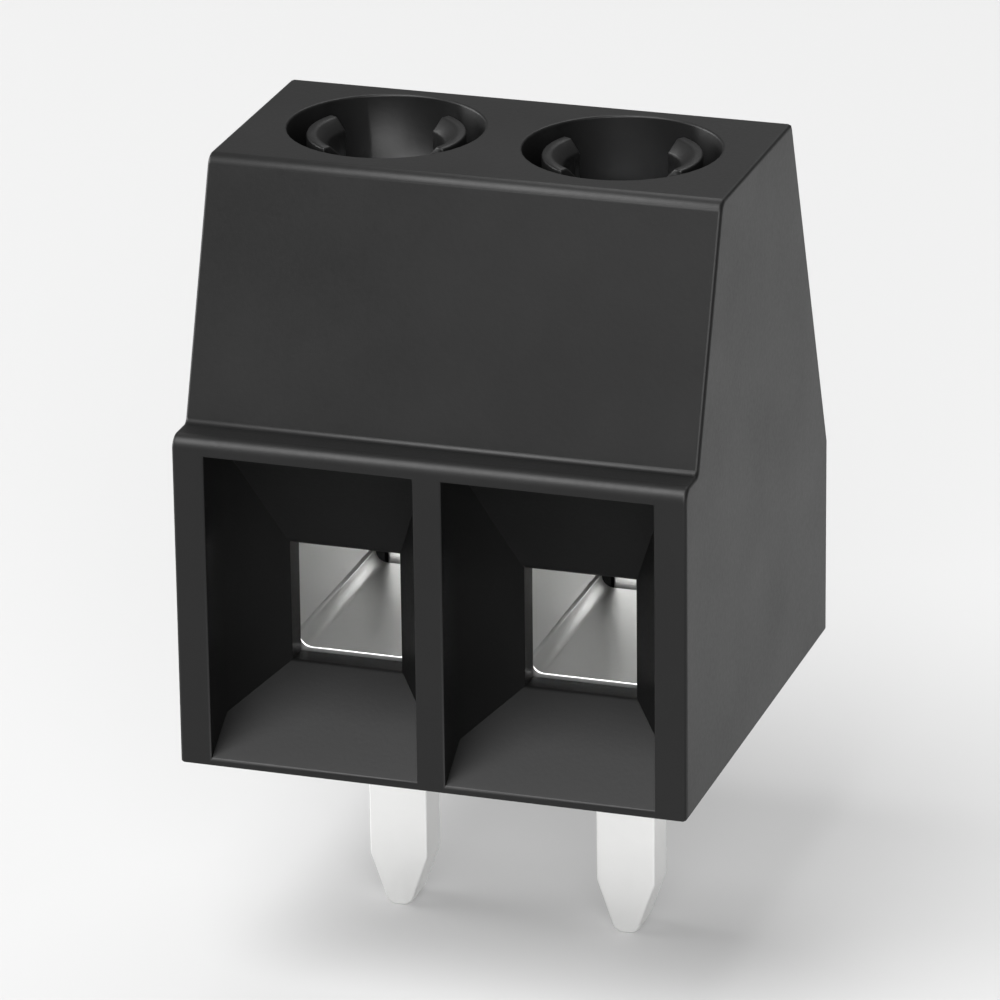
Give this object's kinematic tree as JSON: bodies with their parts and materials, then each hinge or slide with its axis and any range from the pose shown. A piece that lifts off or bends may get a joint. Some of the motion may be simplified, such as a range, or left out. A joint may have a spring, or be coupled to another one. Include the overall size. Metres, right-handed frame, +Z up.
{
  "type": "pcb screw terminal",
  "caption": "Black moulded printed-circuit terminal: funnel wire entries, rising cage clamps worked by screws in round wells, and tapered solder pins below.",
  "frame": {"origin": "on the board's surface, midway between the two solder pins", "axes": "+Z up from the board; +Y the way a wire goes in, from the entry face to the back; +X along the row of poles"},
  "size_m": [0.011, 0.0106, 0.0176],
  "materials": {
    "moulded_body": "fine satin moulding, flame-retardant polyamide",
    "cage_steel": "nickel-plated, lightly drawn along the wire",
    "screw_steel": "zinc-plated, turned",
    "tinned_contact": "matt tin plate over copper alloy strip"
  },
  "bodies": {
    "base": {"housing": "moulded_body", "contact_pin_1": "tinned_contact", "contact_pin_2": "tinned_contact"},
    "cage_1": {"clamp_cage_1": "cage_steel"},
    "cage_2": {"clamp_cage_2": "cage_steel"},
    "screw_1": {"clamp_screw_1": "screw_steel"},
    "screw_2": {"clamp_screw_2": "screw_steel"}
  },
  "joints": [
    {"name": "screw_1_turn", "type": "hinge", "parent": "base", "child": "screw_1", "pos_m": [-0.00254, -0.00038, 0.0098], "axis": [0, 0, 1], "range_deg": [-2000, 0]},
    {"name": "screw_2_turn", "type": "hinge", "parent": "base", "child": "screw_2", "pos_m": [0.00254, -0.00038, 0.0098], "axis": [0, 0, 1], "range_deg": [-2000, 0]},
    {"name": "cage_1_rise", "type": "slide", "parent": "base", "child": "cage_1", "axis": [0, 0, 1], "range_m": [0, 0.0025]},
    {"name": "cage_2_rise", "type": "slide", "parent": "base", "child": "cage_2", "axis": [0, 0, 1], "range_m": [0, 0.0025]}
  ],
  "couplings": [
    {"joint": "screw_1_turn", "follows": "cage_1_rise", "rad_per_m": -13963},
    {"joint": "screw_2_turn", "follows": "cage_2_rise", "rad_per_m": -13963}
  ]
}
